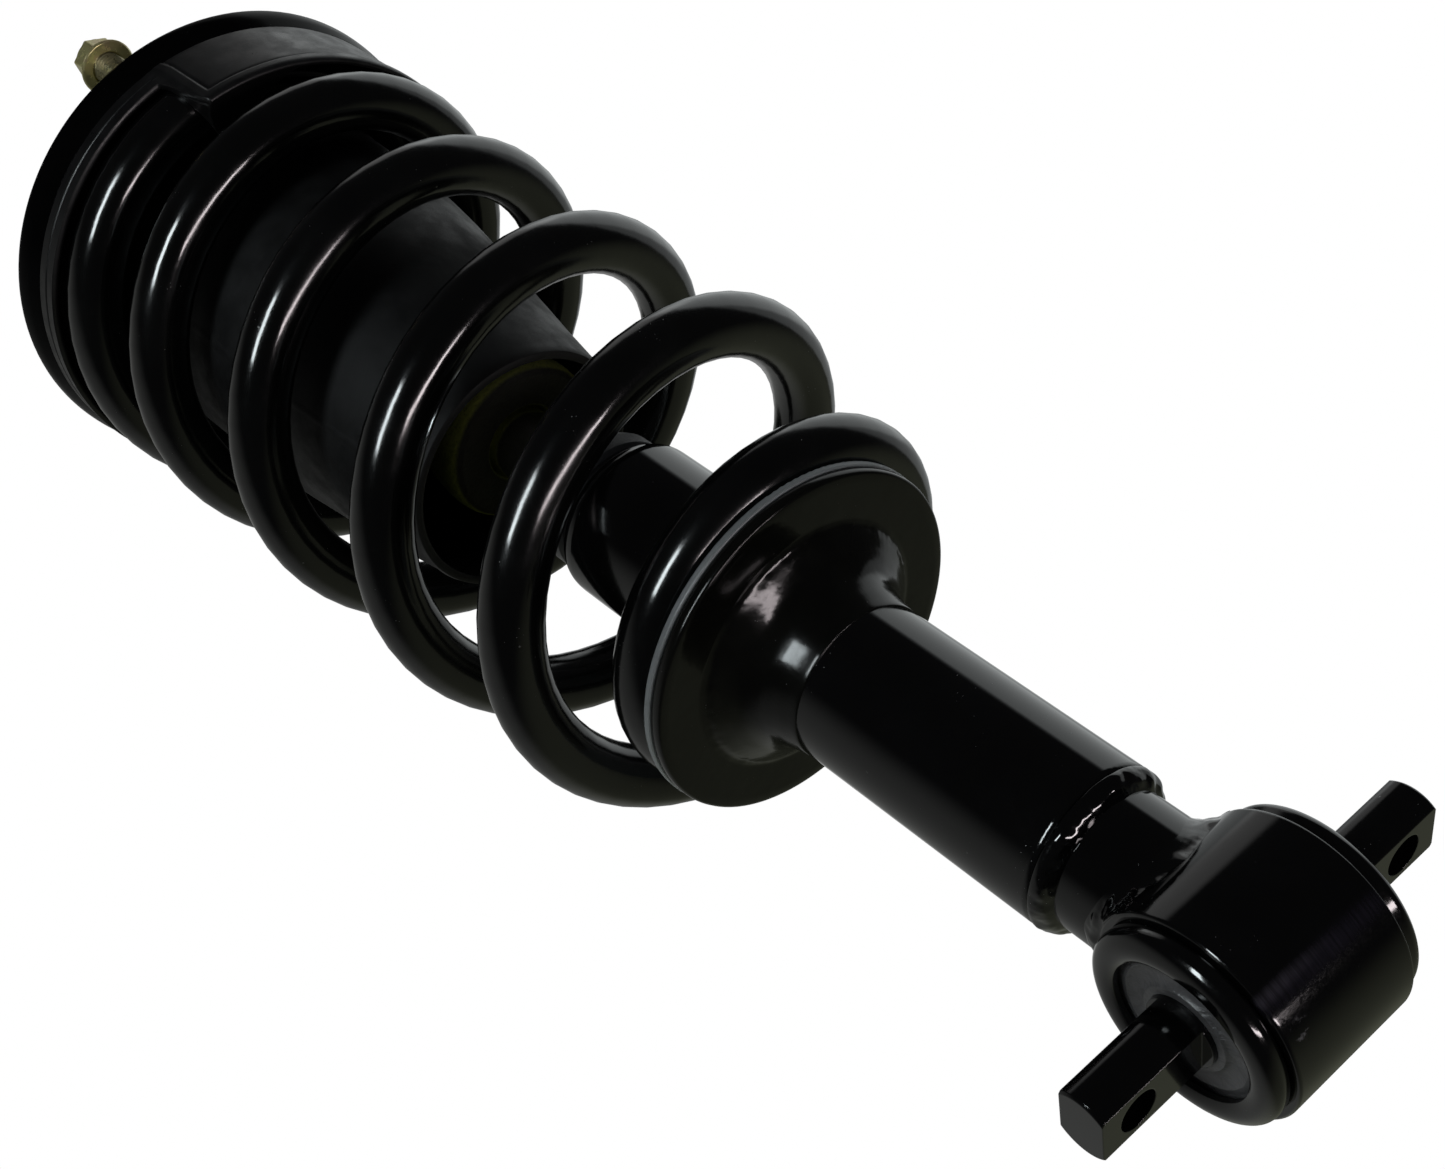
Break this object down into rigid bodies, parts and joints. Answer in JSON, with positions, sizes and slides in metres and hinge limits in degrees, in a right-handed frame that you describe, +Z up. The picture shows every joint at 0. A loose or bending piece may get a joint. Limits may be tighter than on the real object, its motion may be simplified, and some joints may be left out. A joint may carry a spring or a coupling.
{
  "type": "coil-over strut assembly",
  "caption": "Coil-over strut: coil spring between a studded top mount and a seat on a telescopic damper, with a bushed cross bar at the lower end.",
  "frame": {"origin": "centre of the bar pin at the lower end, on the strut's axis", "axes": "+Z up the strut's axis towards the top mount, +X along the bar pin, +Y across it"},
  "size_m": [0.1538, 0.1545, 0.4975],
  "materials": {
    "black_paint": "gloss",
    "spring_coat": "gloss",
    "black_rubber": "matte",
    "bush_rubber": "satin, over-sprayed",
    "pad_grey": "satin",
    "zinc_yellow": "yellow zinc plate",
    "foam": "matte cellular foam",
    "chrome_rod": "polished",
    "steel": "machined",
    "zinc_clear": "clear zinc plate",
    "sintered": "sintered",
    "bronze": "bearing bronze",
    "ptfe": "matte",
    "seal_rubber": "satin",
    "black_plastic": "satin"
  },
  "bodies": {
    "top_mount": {"mount_plate": "black_paint", "cup_retainer": "black_paint", "mount_studs": "zinc_yellow", "stud_nuts": "zinc_yellow", "mount_cushion": "black_rubber", "core_sleeve": "steel", "rod_washer": "zinc_clear", "rod_nut": "zinc_clear", "insulator": "black_rubber", "dust_boot": "black_rubber", "bump_cup": "steel", "bump_stop": "foam", "piston_rod": "chrome_rod", "rebound_stop": "steel", "piston": "sintered", "piston_band": "ptfe", "piston_nut": "steel", "valve_shims": "steel", "coil_spring": "spring_coat"},
    "damper_body": {"eye_sleeve": "black_paint", "bush_can": "black_paint", "bush_rubber": "bush_rubber", "base_stub": "black_paint", "eye_weld": "black_paint", "tube_weld": "black_paint", "reservoir_tube": "black_paint", "base_cap": "steel", "base_valve": "sintered", "pressure_tube": "steel", "rod_guide": "sintered", "guide_bushing": "bronze", "oil_seal": "seal_rubber", "striker_cap": "black_plastic", "lower_seat": "black_paint", "seat_weld": "black_paint", "seat_pad": "pad_grey"},
    "bar_pin_body": {"bar_pin": "black_paint"}
  },
  "joints": [
    {"name": "damper_slide", "type": "slide", "parent": "top_mount", "child": "damper_body", "axis": [0, 0, 1], "range_m": [0, 0.09], "stiffness_N_per_m": 60000, "springref_m": -0.06, "deforming": ["coil_spring", "bump_stop"]},
    {"name": "bar_pivot", "type": "hinge", "parent": "damper_body", "child": "bar_pin_body", "pos_m": [0, 0, 0], "axis": [1, 0, 0], "range_deg": [-18, 18], "stiffness_Nm_per_rad": 90}
  ]
}
